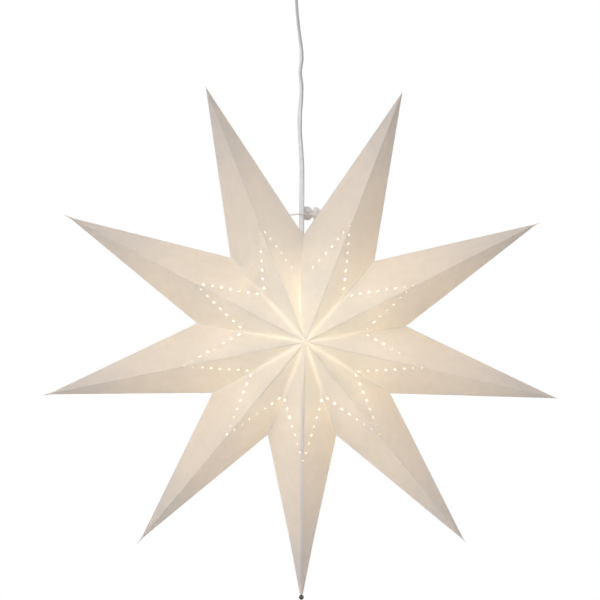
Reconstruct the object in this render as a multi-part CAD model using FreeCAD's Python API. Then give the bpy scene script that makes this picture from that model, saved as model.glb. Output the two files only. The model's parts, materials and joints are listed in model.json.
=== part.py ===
"""Folded paper star pendant: nine hollow paper points round a small lamp, on a flat twin cord.

Millimetres. +Z is up, +X is to the right seen from the front, and the front faces -Y.
The origin is the centre of the hanging eye, and the star hangs below it.
"""

import FreeCAD, Part
import os
from math import cos, hypot, pi, radians, sin, sqrt, tan

from FreeCAD import Vector

# ---------------------------------------------------------------- star
POINT_COUNT = 9
STAR_DROP = 437.0  # from the hanging eye down to the middle of the star
STAR_LEAN_DEG = 1.6  # the star's top tips to the right of its cord
STAR_FORWARD = 2.8  # the cord runs this far behind the star's middle plane
TIP_RADIUS = 300.0
VALLEY_RADIUS = 119.7
STAR_DEPTH = 150.0  # front centre to back centre
PAPER = 0.3
LIP_WIDTH = 8.0  # glue lips folded in along the valleys
GLUE_STRIP_WIDE = 5.0  # doubled paper beside the bottom point's front ridge
GLUE_STRIP_NARROW = 1.5
GLUE_STRIP_START = 45.0
GLUE_STRIP_END = 283.0
HOLE_RADIUS = 1.3
HOLE_STEP = 10.0
HOLE_ROW = 7  # holes on each side of the ridge hole
HOLE_TOP_RADIUS = 136.0  # the ridge hole, from the middle of the star
HOLE_ROW_ANGLE_DEG = 17.0
CORD_NOTCH_DEPTH = 22.0  # cut behind the front crease, which stays whole
BOTTOM_POINT = 6

# Where each point's tip hangs: (degrees clockwise from straight up, share of TIP_RADIUS).
# The folded paper sags, so the side points droop and no two are quite alike.
TIP_HANG = [
    (338.3, 1.020),
    (21.6, 1.008),
    (63.7, 1.002),
    (103.1, 1.005),
    (141.1, 1.006),
    (179.8, 0.992),
    (218.2, 1.011),
    (256.9, 1.014),
    (296.7, 1.016),
]
# The same for the valley after each point, with the share of VALLEY_RADIUS.
VALLEY_HANG = [
    (359.8, 0.971),
    (42.8, 0.998),
    (83.5, 0.993),
    (122.3, 0.996),
    (160.6, 0.993),
    (199.2, 0.992),
    (237.8, 1.012),
    (277.0, 1.018),
    (317.3, 1.025),
]

# ---------------------------------------------------------------- drawstring and its lock
STRING_RADIUS = 0.9
STRING_HOLE_RADIUS = 1.8
STRING_FROM_VALLEY = 28.0  # along the crease from the top valley to the string's hole
STRING_KNOT_RADIUS = 2.2
LOCK_X = 3.4
LOCK_RISE = 22.3  # the lock's middle over VALLEY_RADIUS
LOCK_RADIUS = 8.0
LOCK_FLAT = 5.4  # the ball is cut flat on its right, where the button goes in
LOCK_SLOT_SIDE = 1.6  # the cross hole lies this far right of the ball's middle
LOCK_SLOT_WIDE = 4.6
LOCK_SLOT_TALL = 2.4
LOCK_WELL_RADIUS = 4.55
LOCK_WELL_DEPTH = 5.6  # left of the ball's middle
BUTTON_STEM_RADIUS = 4.5
BUTTON_STEM_FOOT = 0.9  # left of the cross hole
BUTTON_HEAD_RADIUS = 7.2
BUTTON_HEAD_LENGTH = 8.0
BUTTON_HEAD_ROUND = 5.5
BUTTON_PRESS = 2.5
LOCK_TRAVEL = 10.0  # how far the lock can be drawn back along the string
STRING_TAIL = 26.0  # length of the loop behind the lock
SPRING_WIRE_RADIUS = 0.2
SPRING_RADIUS = 3.2
SPRING_TURNS = 4

# ---------------------------------------------------------------- bead under the bottom point
BEAD_RADIUS = 2.9
BEAD_BORE_RADIUS = 0.4
THREAD_RADIUS = 0.25
TIP_CUT = 2.0  # blunted length of the bottom tip, where the thread comes out
INNER_KNOT_RADIUS = 1.1
INNER_KNOT_RISE = 13.0
END_KNOT_RADIUS = 1.5

# ---------------------------------------------------------------- cord
CORD_WIDE = 5.6
CORD_THICK = 3.8
CORE_RADIUS = 1.0
CORE_PITCH = 2.6
CORD_END_IN_CAP = 5.0  # how far below the cap's top the cord's sheath ends

# ---------------------------------------------------------------- lampholder and bulb
HOLDER_TOP = 84.0  # heights over the star's middle
HOLDER_SHOULDER = 68.0
HOLDER_BOTTOM = 30.0
HOLDER_WALL = 1.8
RELIEF_LENGTH = 24.0
FIT = 0.3  # gap between plain pieces that sit in one another
RUNNING_FIT = 0.06
BULB_CAP_RADIUS = 6.9
BULB_CAP_LENGTH = 17.0
SHELL_WALL = 0.6
SHELL_LENGTH = 21.0
INSULATOR_THICK = 9.0
TERMINAL_PITCH = 9.0
TERMINAL_SCREW_RADIUS = 1.4
GLOBE_RADIUS = 22.5
GLOBE_DROP = 33.0  # from the bottom of the bulb's metal cap to the middle of the globe
GLASS = 1.0
FILAMENT_LENGTH = 20.0

# ---------------------------------------------------------------- ceiling fitting
EYE_BORE_RADIUS = 5.0
EYE_RADIUS = 8.5
EYE_THICK = 5.0
YOKE_WIDE = 22.0
YOKE_LEG = 3.0
YOKE_HEAD = -8.0
GRIP_TOP = -22.0
GRIP_BOTTOM = -33.0
GRIP_DEPTH = 12.0
GRIP_SCREW_RADIUS = 1.5
BLOCK_Y = 11.0
BLOCK_LENGTH = 16.0
BLOCK_WIDE = 17.0
BLOCK_TALL = 9.0
BLOCK_Z = -15.0
BLOCK_PITCH = 8.0
CUP_WALL = 2.0
CUP_FLOOR = GRIP_BOTTOM - FIT - CUP_WALL
CUP_RIM = 12.0
CUP_FLOOR_RADIUS = 34.0
CUP_RIM_RADIUS = 43.0

# ---------------------------------------------------------------- sizes that follow from others
CORD_FRONT_Y = STAR_FORWARD - CORD_THICK / 2  # from the star's middle plane
CORD_BACK_Y = STAR_FORWARD + CORD_THICK / 2
STRING_FRONT_Y = CORD_FRONT_Y - STRING_RADIUS - 1.0  # the left strand crosses in front of the cord
LOCK_FRONT_Y = CORD_BACK_Y + 1.0
CORD_NOTCH_RADIUS = CORD_WIDE / 2 + 2.7
RELIEF_TOP_RADIUS = CORD_WIDE / 2 + 1.1
RELIEF_FOOT_RADIUS = CORD_WIDE / 2 + 2.2
HOLDER_NECK_RADIUS = RELIEF_FOOT_RADIUS + 2.5
HOLDER_RADIUS = BULB_CAP_RADIUS + 7.1
GRIP_BORE_RADIUS = CORD_WIDE / 2 + 0.8
CUP_HOLE_RADIUS = CORD_WIDE / 2 + 4.2

# The cord's route from the grip down to the lampholder, (x, height over the star's middle).
CORD_ROUTE = [
    (0.0, STAR_DROP + GRIP_TOP),
    (-0.3, 383.0),
    (2.2, 351.0),
    (5.8, 320.0),
    (2.2, 303.0),
    (5.0, 284.0),
    (0.2, 247.0),
    (3.0, 200.0),
    (0.0, HOLDER_TOP - CORD_END_IN_CAP),
]

Z = Vector(0, 0, 1)
Y = Vector(0, 1, 0)
X = Vector(1, 0, 0)


def cylinder(radius, start, end):
    axis = end - start
    return Part.makeCylinder(radius, axis.Length, start, axis)


def ball(radius, centre):
    return Part.makeSphere(radius, centre)


def block(low, high):
    size = high - low
    return Part.makeBox(size.x, size.y, size.z, low)


def turned(outline, centre):
    """A solid of revolution about the vertical line through centre; outline is (radius, height)."""
    points = [centre + Vector(r, 0, z) for r, z in outline]
    face = Part.Face(Part.makePolygon(points + points[:1]))
    return face.revolve(centre, Z, 360)


def prism(corners, along):
    return Part.Face(Part.makePolygon(corners + corners[:1])).extrude(along)


def joined(solids):
    whole = solids[0]
    for solid in solids[1:]:
        whole = whole.fuse(solid)
    return whole.removeSplitter()


def group(solids):
    return Part.makeCompound(solids)


def faceted(corners, faces):
    shells = [Part.Face(Part.makePolygon([corners[i] for i in f] + [corners[f[0]]])) for f in faces]
    solid = Part.Solid(Part.Shell(shells))
    if solid.Volume < 0:
        solid.reverse()
    return solid


# ---------------------------------------------------------------- tubes along a rounded route
def rounded_route(points, name):
    """Straight runs joined by tangent arcs, each as large as its two runs allow."""
    edges = []
    radii = []
    start = points[0]
    for before, corner, after in zip(points, points[1:], points[2:]):
        back = before - corner
        ahead = after - corner
        half_turn = (pi - back.getAngle(ahead)) / 2
        radius = 0.45 * min(back.Length, ahead.Length) / tan(half_turn)
        radii.append(radius)
        cut = radius * tan(half_turn)
        back.normalize()
        ahead.normalize()
        first = corner + back * cut
        last = corner + ahead * cut
        middle = back + ahead
        middle.normalize()
        top = corner + middle * (radius / cos(half_turn) - radius)
        if (first - start).Length > 1e-6:
            edges.append(Part.LineSegment(start, first).toShape())
        edges.append(Part.Arc(first, top, last).toShape())
        start = last
    edges.append(Part.LineSegment(start, points[-1]).toShape())
    print(name, "radii", [round(r, 1) for r in radii])
    return Part.Wire(edges)


def swept(path, section, area, name):
    tube = path.makePipeShell([section], True, False)
    print(name, "volume", round(tube.Volume, 1), "section x length", round(area * path.Length, 1))
    return tube


def round_tube(points, radius, name):
    path = rounded_route(points, name)
    section = Part.Wire(Part.makeCircle(radius, points[0], points[1] - points[0]))
    return swept(path, section, pi * radius**2, name)


def flat_tube(points, wide, thick, name):
    """A cord of two cores side by side along X: its section has flat sides and round edges."""
    path = rounded_route(points, name)
    r = thick / 2
    reach = wide / 2 - r
    along = points[1] - points[0]
    along.normalize()
    side = Y.cross(along)
    side.normalize()

    def at(u, v):
        return points[0] + side * u + Y * v

    section = Part.Wire(
        [
            Part.LineSegment(at(-reach, -r), at(reach, -r)).toShape(),
            Part.Arc(at(reach, -r), at(reach + r, 0), at(reach, r)).toShape(),
            Part.LineSegment(at(reach, r), at(-reach, r)).toShape(),
            Part.Arc(at(-reach, r), at(-reach - r, 0), at(-reach, -r)).toShape(),
        ]
    )
    return swept(path, section, pi * r**2 + 4 * reach * r, name)


# ---------------------------------------------------------------- paper star
def ray(angle_deg, radius):
    """A place on the star's middle plane; the angle runs clockwise from straight up."""
    return Vector(radius * sin(radians(angle_deg)), 0, radius * cos(radians(angle_deg)))


def tip(index):
    angle, share = TIP_HANG[index - 1]
    return ray(angle, TIP_RADIUS * share)


def valley(index):
    """The valley between point index and the next one clockwise."""
    angle, share = VALLEY_HANG[index - 1]
    return ray(angle, VALLEY_RADIUS * share)


FRONT = Vector(0, -STAR_DEPTH / 2, 0)
BACK = Vector(0, STAR_DEPTH / 2, 0)


def wedge(peak, before, after, move):
    corners = [c + move for c in (FRONT, BACK, peak, before, after)]
    sides = [(0, 2, 3), (0, 4, 2), (1, 3, 2), (1, 2, 4), (0, 3, 1), (0, 1, 4)]
    return faceted(corners, sides)


def inset(peak, before, after):
    """The move that takes the outer faces to the inner ones, one paper thickness inside."""
    walls = []
    for corner in (before, after):
        normal = (FRONT - peak).cross(corner - peak)
        normal.normalize()
        middle = (before + after) * 0.5 - peak
        if normal.dot(middle) < 0:
            normal = normal * -1
        walls.append(normal)
    (a, b), (c, d) = ((n.x, n.z) for n in walls)
    spread = a * d - b * c
    return Vector(PAPER * (d - b) / spread, 0, PAPER * (a - c) / spread)


def lip(corner, inside):
    """A strip folded in along both halves of a valley, on this point's own side of it."""
    normal = (BACK - FRONT).cross(corner)
    normal.normalize()
    if normal.dot(inside - corner) < 0:
        normal = normal * -1
    half = STAR_DEPTH / 2
    slope = hypot(half, corner.Length)
    reach = LIP_WIDTH * slope / half
    depth = LIP_WIDTH * slope / corner.Length
    outward = Vector(corner)
    outward.normalize()
    notch = outward * (corner.Length - reach)
    outline = [
        FRONT,
        corner,
        BACK,
        Vector(0, half - depth, 0),
        notch,
        Vector(0, depth - half, 0),
    ]
    return prism(outline, normal * PAPER)


def glue_strip(peak, side):
    """Doubled paper inside the front face, along its ridge."""
    along = peak - FRONT
    along.normalize()
    normal = (peak - FRONT).cross(side - FRONT)
    normal.normalize()
    if normal.y < 0:
        normal = normal * -1
    across = normal.cross(along)
    if across.dot(side - FRONT) < 0:
        across = across * -1
    lift = normal * PAPER * 0.98
    near = FRONT + along * GLUE_STRIP_START + lift
    far = FRONT + along * GLUE_STRIP_END + lift
    outline = [near, far, far + across * GLUE_STRIP_NARROW, near + across * GLUE_STRIP_WIDE]
    return prism(outline, normal * PAPER)


def pricked_places(index):
    """The middles of one point's holes: one on the ridge and a row down each side of it."""
    peak = tip(index)
    places = []
    for side in (valley(index - 1), valley(index)):
        outward = Vector(peak)
        outward.normalize()
        across = side - outward * side.dot(outward)
        across.normalize()
        slant = radians(HOLE_ROW_ANGLE_DEG)
        for number in range(HOLE_ROW + 1):
            if number == 0 and places:
                continue
            run = outward * -cos(slant) + across * sin(slant)
            places.append(outward * HOLE_TOP_RADIUS + run * HOLE_STEP * number)
    return places


def string_holes():
    """Where the drawstring goes through the creases on both sides of the top valley."""
    top = valley(1)
    places = []
    for index in (1, 2):
        crease = tip(index) - top
        crease.normalize()
        places.append(top + crease * STRING_FROM_VALLEY)
    return places


def paper_point(index):
    peak = tip(index)
    before = valley(index - 1)
    after = valley(index)
    outer = wedge(peak, before, after, Vector())
    sleeve = outer.cut(wedge(peak, before, after, inset(peak, before, after)))
    lips = []
    for corner, is_seam in ((before, index == 2), (after, index == 1)):
        if not is_seam:
            lips.append(lip(corner, peak).common(outer))
    sleeve = joined([sleeve] + lips)
    if index == BOTTOM_POINT:
        sleeve = joined([sleeve, glue_strip(peak, after).common(outer)])
        sleeve = sleeve.cut(block(peak - Vector(5, 5, 5), peak + Vector(5, 5, TIP_CUT)))
        sleeve = sleeve.cut(cylinder(THREAD_RADIUS + 0.05, peak, peak + Z * INNER_KNOT_RISE))
    for place in pricked_places(index):
        sleeve = sleeve.cut(cylinder(HOLE_RADIUS, place - Y * STAR_DEPTH, place + Y * STAR_DEPTH))
    if index in (1, 2):
        top = valley(1)
        way = top + Y * STAR_FORWARD
        notch = cylinder(CORD_NOTCH_RADIUS, way - Z * CORD_NOTCH_DEPTH, way + Z * CORD_NOTCH_DEPTH)
        room = Vector(CORD_NOTCH_DEPTH, 0, 2 * CORD_NOTCH_DEPTH)
        behind = block(top - room, top + room + Y * CORD_NOTCH_DEPTH)
        sleeve = sleeve.cut(notch.common(behind))
        for place in string_holes():
            sleeve = sleeve.cut(cylinder(STRING_HOLE_RADIUS, place - X * 6, place + X * 6))
    return sleeve


# ---------------------------------------------------------------- drawstring, lock and bead
def lock_middle():
    return Vector(LOCK_X, LOCK_FRONT_Y + LOCK_RADIUS, VALLEY_RADIUS + LOCK_RISE)


def drawstring():
    """One string: a stopper knot inside each top point, and its loop pulled through the lock."""
    left, right = string_holes()
    hole = lock_middle() + X * LOCK_SLOT_SIDE
    strand = STRING_RADIUS + 0.1
    front = hole.y - LOCK_RADIUS
    back = hole.y + LOCK_RADIUS
    knot_left = left + Vector(-STRING_KNOT_RADIUS - 2.6, 0, -1.0)
    knot_right = right + Vector(STRING_KNOT_RADIUS + 2.6, 0, -1.0)
    route = [
        knot_left,
        left + Vector(1.5, STRING_FRONT_Y * 0.4, 0.2),
        Vector(-3.5, STRING_FRONT_Y, hole.z - 1.4),
        Vector(hole.x - strand - 1.2, STRING_FRONT_Y + 0.8, hole.z - 0.4),
        Vector(hole.x - strand, front + 3.0, hole.z),
        Vector(hole.x - strand, back + LOCK_TRAVEL + 1, hole.z + 0.2),
        Vector(hole.x - 4.5, back + STRING_TAIL * 0.75, hole.z - 2.0),
        Vector(hole.x - 3.5, back + STRING_TAIL, hole.z - 5.0),
        Vector(hole.x + 3.2, back + STRING_TAIL + 1, hole.z - 5.5),
        Vector(hole.x + 4.8, back + STRING_TAIL * 0.75, hole.z - 2.4),
        Vector(hole.x + strand, back + LOCK_TRAVEL + 1, hole.z + 0.2),
        Vector(hole.x + strand, front + 3.0, hole.z),
        Vector(hole.x + strand + 0.8, front - 4.4, hole.z - 0.8),
        right + Vector(-1.5, STRING_FRONT_Y * 0.3, 0.2),
        knot_right,
    ]
    cord = round_tube(route, STRING_RADIUS, "drawstring")
    return joined([cord, ball(STRING_KNOT_RADIUS, knot_left), ball(STRING_KNOT_RADIUS, knot_right)])


def lock_slot(left, right):
    """The cross hole, front to back, that both strands run through, between two places on X."""
    middle = lock_middle() + X * LOCK_SLOT_SIDE
    return block(
        middle + Vector(left, -LOCK_RADIUS - 1, -LOCK_SLOT_TALL / 2),
        middle + Vector(right, LOCK_RADIUS + 1, LOCK_SLOT_TALL / 2),
    )


def lock_ball():
    middle = lock_middle()
    well = cylinder(LOCK_WELL_RADIUS, middle - X * LOCK_WELL_DEPTH, middle + X * (LOCK_RADIUS + 1))
    slot = lock_slot(-LOCK_SLOT_WIDE / 2, LOCK_SLOT_WIDE / 2)
    room = Vector(LOCK_RADIUS, LOCK_RADIUS + 1, LOCK_RADIUS + 1)
    beyond = block(middle + X * LOCK_FLAT - Vector(0, room.y, room.z), middle + X * LOCK_FLAT + room)
    return ball(LOCK_RADIUS, middle).cut(beyond).cut(well).cut(slot)


def button_foot():
    """How far left of the ball's middle the button's stem ends."""
    return LOCK_SLOT_WIDE / 2 + BUTTON_STEM_FOOT - LOCK_SLOT_SIDE


def lock_button():
    """The sprung plunger, whose slot lines up with the ball's cross hole."""
    middle = lock_middle()
    shoulder = middle + X * (LOCK_FLAT + 0.1 + BUTTON_PRESS)
    end = shoulder + X * BUTTON_HEAD_LENGTH
    stem = cylinder(BUTTON_STEM_RADIUS, middle - X * button_foot(), shoulder)
    head = cylinder(BUTTON_HEAD_RADIUS, shoulder, end)
    rim = [e for e in head.Edges if abs(e.CenterOfMass.x - end.x) < 1e-3]
    head = head.makeFillet(BUTTON_HEAD_ROUND, rim)
    slot = lock_slot(-LOCK_SLOT_WIDE / 2, LOCK_SLOT_WIDE / 2 + BUTTON_PRESS)
    return joined([stem, head]).cut(slot)


def lock_spring():
    """A few turns of fine wire between the well's floor and the button's stem."""
    room = LOCK_WELL_DEPTH - button_foot() - 2 * SPRING_WIRE_RADIUS
    start = lock_middle() - X * (LOCK_WELL_DEPTH - SPRING_WIRE_RADIUS)
    pitch = room / SPRING_TURNS
    helix = Part.makeHelix(pitch, room, SPRING_RADIUS)
    first = Vector(SPRING_RADIUS, 0, 0)
    section = Part.Wire(Part.makeCircle(SPRING_WIRE_RADIUS, first, Y))
    coil = Part.Wire(helix.Edges).makePipeShell([section], True, True)
    coil.rotate(Vector(), Y, 90)
    coil.translate(start)
    return coil


def tip_bead():
    middle = tip(BOTTOM_POINT) + Z * (TIP_CUT - BEAD_RADIUS - 0.6)
    bore = cylinder(BEAD_BORE_RADIUS, middle - Z * 2 * BEAD_RADIUS, middle + Z * 2 * BEAD_RADIUS)
    return ball(BEAD_RADIUS, middle).cut(bore)


def bead_thread():
    """A fine thread from a knot inside the bottom point down to the knot that holds the bead."""
    peak = tip(BOTTOM_POINT)
    top = peak + Z * INNER_KNOT_RISE
    bottom = peak + Z * (TIP_CUT - 2 * BEAD_RADIUS - 0.6 - END_KNOT_RADIUS)
    thread = cylinder(THREAD_RADIUS, bottom, top)
    return joined([thread, ball(INNER_KNOT_RADIUS, top), ball(END_KNOT_RADIUS, bottom)])


# ---------------------------------------------------------------- cord and its cores
def over_star(x, height, y=0.0):
    """A place given by its height over the star's middle."""
    return Vector(x, y, height - STAR_DROP)


def pendant_cord():
    return flat_tube([over_star(x, h) for x, h in CORD_ROUTE], CORD_WIDE, CORD_THICK, "cord")


def lower_core(side):
    """A bared core from the cord's end down to its terminal in the lampholder."""
    top = over_star(side * CORE_PITCH / 2, CORD_ROUTE[-1][1] - 0.1)
    foot = insulator_top() + 0.4
    route = [
        top,
        top - Z * 4,
        over_star(side * TERMINAL_PITCH / 2, foot + 4),
        over_star(side * TERMINAL_PITCH / 2, foot),
    ]
    return round_tube(route, CORE_RADIUS, "lower core")


def upper_core(side):
    """A bared core from the cord's end back into its terminal in the ceiling cup."""
    top = over_star(side * CORE_PITCH / 2, CORD_ROUTE[0][1] + 0.35)
    route = [
        top,
        top + Z * (BLOCK_Z - top.z) + Y * 0.5,
        Vector(side * BLOCK_PITCH / 2, BLOCK_Y - 4, BLOCK_Z + 0.4),
        Vector(side * BLOCK_PITCH / 2, BLOCK_Y - 0.1, BLOCK_Z),
    ]
    return round_tube(route, CORE_RADIUS, "upper core")


# ---------------------------------------------------------------- lampholder
def insulator_top():
    return HOLDER_SHOULDER - 4.0


def shell_top():
    return insulator_top() - INSULATOR_THICK


def holder_cap():
    """The upper shell, with a neck for the strain relief."""
    wall = HOLDER_WALL
    outline = [
        (RELIEF_FOOT_RADIUS, HOLDER_TOP),
        (HOLDER_NECK_RADIUS, HOLDER_TOP),
        (HOLDER_RADIUS, HOLDER_SHOULDER),
        (HOLDER_RADIUS, shell_top()),
        (HOLDER_RADIUS - wall, shell_top()),
        (HOLDER_RADIUS - wall, HOLDER_SHOULDER - 0.5),
        (HOLDER_NECK_RADIUS - wall * 0.6, HOLDER_TOP - wall),
        (RELIEF_FOOT_RADIUS, HOLDER_TOP - wall),
    ]
    return turned(outline, over_star(0, 0))


def strain_relief():
    """A soft tapered sleeve held in the cap's neck."""
    sleeve = turned(
        [
            (0, HOLDER_TOP - 4),
            (RELIEF_FOOT_RADIUS + 0.9, HOLDER_TOP - 4),
            (RELIEF_FOOT_RADIUS + 0.9, HOLDER_TOP - HOLDER_WALL - 0.3),
            (RELIEF_FOOT_RADIUS - 0.1, HOLDER_TOP - HOLDER_WALL - 0.3),
            (RELIEF_FOOT_RADIUS - 0.1, HOLDER_TOP + 1),
            (RELIEF_TOP_RADIUS, HOLDER_TOP + RELIEF_LENGTH),
            (0, HOLDER_TOP + RELIEF_LENGTH),
        ],
        over_star(0, 0),
    )
    return sleeve.cut(cord_clearance())


def cord_clearance():
    """The flat hole round the cord's last run, a little larger than the cord."""
    (x_high, high), (x_low, low) = CORD_ROUTE[-2:]
    slope = (x_high - x_low) / (high - low)
    top = HOLDER_TOP + RELIEF_LENGTH + 5
    bottom = HOLDER_TOP - 6
    wide = CORD_WIDE / 2 + 0.25
    thick = CORD_THICK / 2 + 0.25
    corners = [
        over_star(x_low + slope * (bottom - low) - wide, bottom, -thick),
        over_star(x_low + slope * (bottom - low) + wide, bottom, -thick),
        over_star(x_low + slope * (top - low) + wide, top, -thick),
        over_star(x_low + slope * (top - low) - wide, top, -thick),
    ]
    return prism(corners, Y * 2 * thick)


def holder_skirt():
    """The lower shell round the metal screw shell."""
    inner = BULB_CAP_RADIUS + RUNNING_FIT + SHELL_WALL + 0.2
    top = shell_top() - 0.3
    outline = [
        (inner, top),
        (HOLDER_RADIUS, top),
        (HOLDER_RADIUS - 1.5, HOLDER_BOTTOM),
        (inner, HOLDER_BOTTOM),
    ]
    return turned(outline, over_star(0, 0))


def holder_insulator():
    """The ceramic block that carries both contacts and their terminals."""
    radius = HOLDER_RADIUS - HOLDER_WALL - FIT
    block_top = insulator_top()
    outline = [(0, shell_top()), (radius, shell_top()), (radius, block_top), (0, block_top)]
    disc = turned(outline, over_star(0, 0))
    wells = [
        cylinder(
            TERMINAL_SCREW_RADIUS,
            over_star(side * TERMINAL_PITCH / 2, block_top - 4, -radius - 1),
            over_star(side * TERMINAL_PITCH / 2, block_top - 4, 2),
        )
        for side in (-1, 1)
    ]
    return disc.cut(group(wells))


def holder_screws():
    """Two terminal screws, set in from the front of the ceramic block."""
    radius = HOLDER_RADIUS - HOLDER_WALL - FIT
    screws = []
    for side in (-1, 1):
        x = side * TERMINAL_PITCH / 2
        height = insulator_top() - 4
        head = over_star(x, height, 1.0 - sqrt(radius**2 - x**2))
        screw = cylinder(TERMINAL_SCREW_RADIUS - 0.05, head, over_star(x, height, 1.9))
        slot = block(head - Vector(2, 0.5, 0.25), head + Vector(2, 0.6, 0.25))
        screws.append(screw.cut(slot))
    return group(screws)


def screw_shell():
    inner = BULB_CAP_RADIUS + RUNNING_FIT
    outer = inner + SHELL_WALL
    top = shell_top()
    outline = [(inner, top - SHELL_LENGTH), (outer, top - SHELL_LENGTH), (outer, top), (inner, top)]
    return turned(outline, over_star(0, 0))


def centre_contact():
    """A springy tongue under the ceramic block that meets the bulb's end."""
    top = shell_top()
    low = bulb_top() + 0.1
    outline = [
        over_star(-3.5, top, -1.8),
        over_star(3.5, top, -1.8),
        over_star(3.5, top - 0.5, -1.8),
        over_star(1.4, low, -1.8),
        over_star(-1.4, low, -1.8),
        over_star(-3.5, top - 0.5, -1.8),
    ]
    return prism(outline, Y * 3.6)


# ---------------------------------------------------------------- bulb
def bulb_top():
    return shell_top() - 3.0


def cap_top():
    return bulb_top() - 3.0


def cap_bottom():
    return cap_top() - BULB_CAP_LENGTH


def globe_middle():
    return cap_bottom() - GLOBE_DROP


def bulb_cap():
    wall = 0.4
    outline = [
        (BULB_CAP_RADIUS - wall, cap_bottom()),
        (BULB_CAP_RADIUS, cap_bottom()),
        (BULB_CAP_RADIUS, cap_top()),
        (BULB_CAP_RADIUS - wall, cap_top()),
    ]
    return turned(outline, over_star(0, 0))


def bulb_insulator():
    """The plug of dark glass between the cap and the end contact."""
    outline = [
        (0, cap_top() - 1.5),
        (BULB_CAP_RADIUS - 0.4, cap_top() - 1.5),
        (BULB_CAP_RADIUS - 0.4, cap_top()),
        (2.2, bulb_top() - 0.8),
        (0, bulb_top() - 0.8),
    ]
    return turned(outline, over_star(0, 0))


def bulb_contact():
    outline = [(0, bulb_top() - 0.8), (2.0, bulb_top() - 0.8), (1.6, bulb_top()), (0, bulb_top())]
    return turned(outline, over_star(0, 0))


def globe_skin(gap):
    """The bulb's outline turned about its axis, drawn in by gap; its neck sits in the cap."""
    radius = GLOBE_RADIUS - gap
    middle = globe_middle()
    neck = BULB_CAP_RADIUS - 0.4 - gap
    top = cap_bottom() + 4 - gap
    lean = radians(40)
    meet = Vector(radius * cos(lean), 0, middle + radius * sin(lean))
    bottom = Vector(0, 0, middle - radius)
    belly = Vector(radius, 0, middle)
    flare = Vector(neck + 1.2, 0, cap_bottom() - 9)
    edges = [
        Part.LineSegment(Vector(0, 0, top), Vector(neck, 0, top)).toShape(),
        Part.LineSegment(Vector(neck, 0, top), Vector(neck, 0, cap_bottom() - 2)).toShape(),
        Part.Arc(Vector(neck, 0, cap_bottom() - 2), flare, meet).toShape(),
        Part.Arc(meet, belly, bottom).toShape(),
        Part.LineSegment(bottom, Vector(0, 0, top)).toShape(),
    ]
    solid = Part.Face(Part.Wire(edges)).revolve(Vector(), Z, 360)
    solid.translate(over_star(0, 0))
    return solid


def bulb_globe():
    return globe_skin(0.0).cut(globe_skin(GLASS))


def bulb_filament():
    """A glass stem with the light-giving rod below it."""
    base = cap_bottom() + 4 - GLASS
    stem = cylinder(2.0, over_star(0, base - 18), over_star(0, base))
    rod = cylinder(1.2, over_star(0, base - 18 - FILAMENT_LENGTH), over_star(0, base - 18))
    return joined([stem, rod])


# ---------------------------------------------------------------- ceiling fitting
def hanging_eye():
    """The moulded eye, its yoke and the grip that holds the cord's end, in one piece."""
    half = EYE_THICK / 2
    ring = cylinder(EYE_RADIUS, Vector(0, -half, 0), Vector(0, half, 0))
    head = block(
        Vector(-YOKE_WIDE / 2, -half, YOKE_HEAD - YOKE_LEG),
        Vector(YOKE_WIDE / 2, half, YOKE_HEAD),
    )
    legs = [
        block(
            Vector(min(side * YOKE_WIDE / 2, side * (YOKE_WIDE / 2 - YOKE_LEG)), -half, GRIP_TOP),
            Vector(max(side * YOKE_WIDE / 2, side * (YOKE_WIDE / 2 - YOKE_LEG)), half, YOKE_HEAD),
        )
        for side in (-1, 1)
    ]
    grip = block(
        Vector(-YOKE_WIDE / 2, -GRIP_DEPTH / 2, GRIP_BOTTOM),
        Vector(YOKE_WIDE / 2, GRIP_DEPTH / 2, GRIP_TOP),
    )
    shelf = block(
        Vector(-BLOCK_WIDE / 2, GRIP_DEPTH / 2, GRIP_TOP - 3),
        Vector(BLOCK_WIDE / 2, BLOCK_Y + BLOCK_LENGTH, GRIP_TOP),
    )
    body = joined([ring, head, grip, shelf] + legs)
    bore = cylinder(EYE_BORE_RADIUS, Vector(0, -half - 1, 0), Vector(0, half + 1, 0))
    cord_way = cylinder(GRIP_BORE_RADIUS, Vector(0, 0, GRIP_BOTTOM - 1), Vector(0, 0, GRIP_TOP + 1))
    body = body.cut(bore).cut(cord_way)
    for side in (-1, 1):
        start = Vector(side * (GRIP_BORE_RADIUS - 1), 0, grip_screw_height())
        body = body.cut(cylinder(GRIP_SCREW_RADIUS, start, start + X * side * YOKE_WIDE / 2))
    return body


def grip_screw_height():
    return (GRIP_TOP + GRIP_BOTTOM) / 2


def grip_screws():
    """Two set screws that pinch the cord inside the grip."""
    screws = []
    for side in (-1, 1):
        inner = Vector(side * (GRIP_BORE_RADIUS + 0.1), 0, grip_screw_height())
        outer = Vector(side * (YOKE_WIDE / 2 - 0.8), 0, grip_screw_height())
        screw = cylinder(GRIP_SCREW_RADIUS - 0.05, inner, outer)
        slot = block(outer - Vector(0.7, 2, 0.25), outer + Vector(0.7, 2, 0.25))
        screws.append(screw.cut(slot))
    return group(screws)


def terminal_block():
    """A two-way connector on the shelf behind the grip."""
    low = Vector(-BLOCK_WIDE / 2, BLOCK_Y, GRIP_TOP + 0.1)
    high = Vector(BLOCK_WIDE / 2, BLOCK_Y + BLOCK_LENGTH, GRIP_TOP + BLOCK_TALL + 3)
    body = block(low, high)
    for side in (-1, 1):
        x = side * BLOCK_PITCH / 2
        body = body.cut(cylinder(1.5, Vector(x, BLOCK_Y + 0.5, BLOCK_Z), Vector(x, high.y + 1, BLOCK_Z)))
        for share in (0.25, 0.75):
            seat = Vector(x, BLOCK_Y + BLOCK_LENGTH * share, BLOCK_Z)
            body = body.cut(cylinder(TERMINAL_SCREW_RADIUS, seat, Vector(x, seat.y, high.z + 1)))
    return body


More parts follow.
